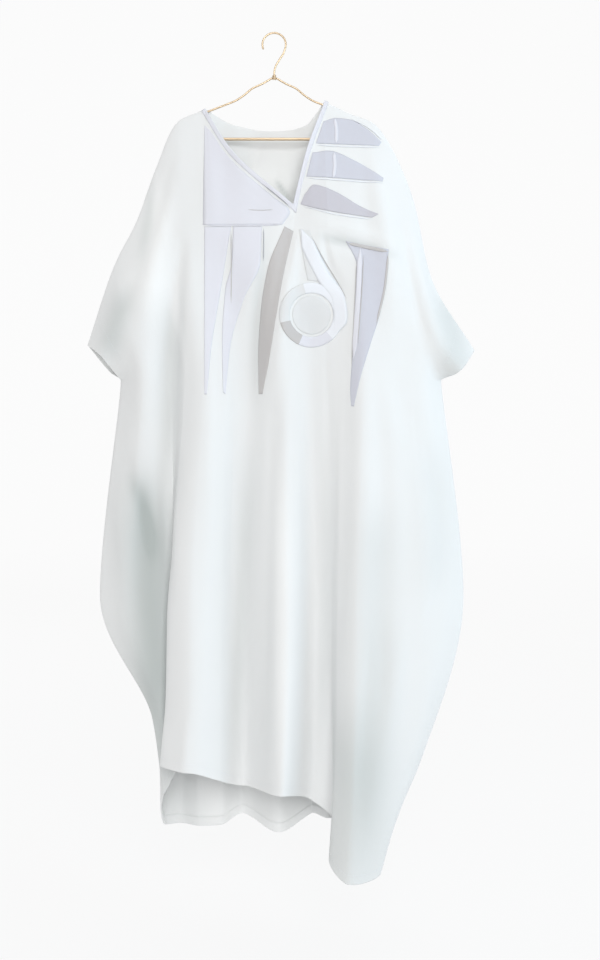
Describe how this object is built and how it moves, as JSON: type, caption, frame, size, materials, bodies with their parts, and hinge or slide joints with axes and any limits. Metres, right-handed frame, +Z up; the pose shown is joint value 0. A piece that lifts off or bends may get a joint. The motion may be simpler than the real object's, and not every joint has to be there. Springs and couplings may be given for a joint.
{
  "type": "grand boubou robe on a wire hanger",
  "caption": "Wide loose white robe with short cut-on sleeves, V neck and tone-on-tone embroidery, hung on a gold wire hanger.",
  "frame": {"origin": "top of the inside of the hanger's hook, where it sits on a rail", "axes": "+Z up, -Y out of the robe's front, +X to the right of someone who looks at the front"},
  "size_m": [0.7931, 0.214, 1.702],
  "materials": {
    "white_cloth": "matt woven cotton",
    "lilac_embroidery": "satin stitch",
    "pale_embroidery": "satin stitch",
    "gold_wire": "satin gold"
  },
  "bodies": {
    "root": {"front_panel": "white_cloth", "back_panel": "white_cloth", "neck_band": "pale_embroidery", "yoke_field": "lilac_embroidery", "knife_across_high": "lilac_embroidery", "knife_across_middle": "lilac_embroidery", "knife_across_low": "lilac_embroidery", "knife_down_left": "lilac_embroidery", "knife_down_middle": "lilac_embroidery", "knife_down_curved": "lilac_embroidery", "knife_down_right": "lilac_embroidery", "roundel_tail": "pale_embroidery", "roundel_disc": "pale_embroidery", "roundel_ring": "pale_embroidery", "hook": "gold_wire", "hanger_collar": "gold_wire", "hanger_arm_left": "gold_wire", "hanger_arm_right": "gold_wire", "hanger_bar": "gold_wire"}
  },
  "joints": []
}
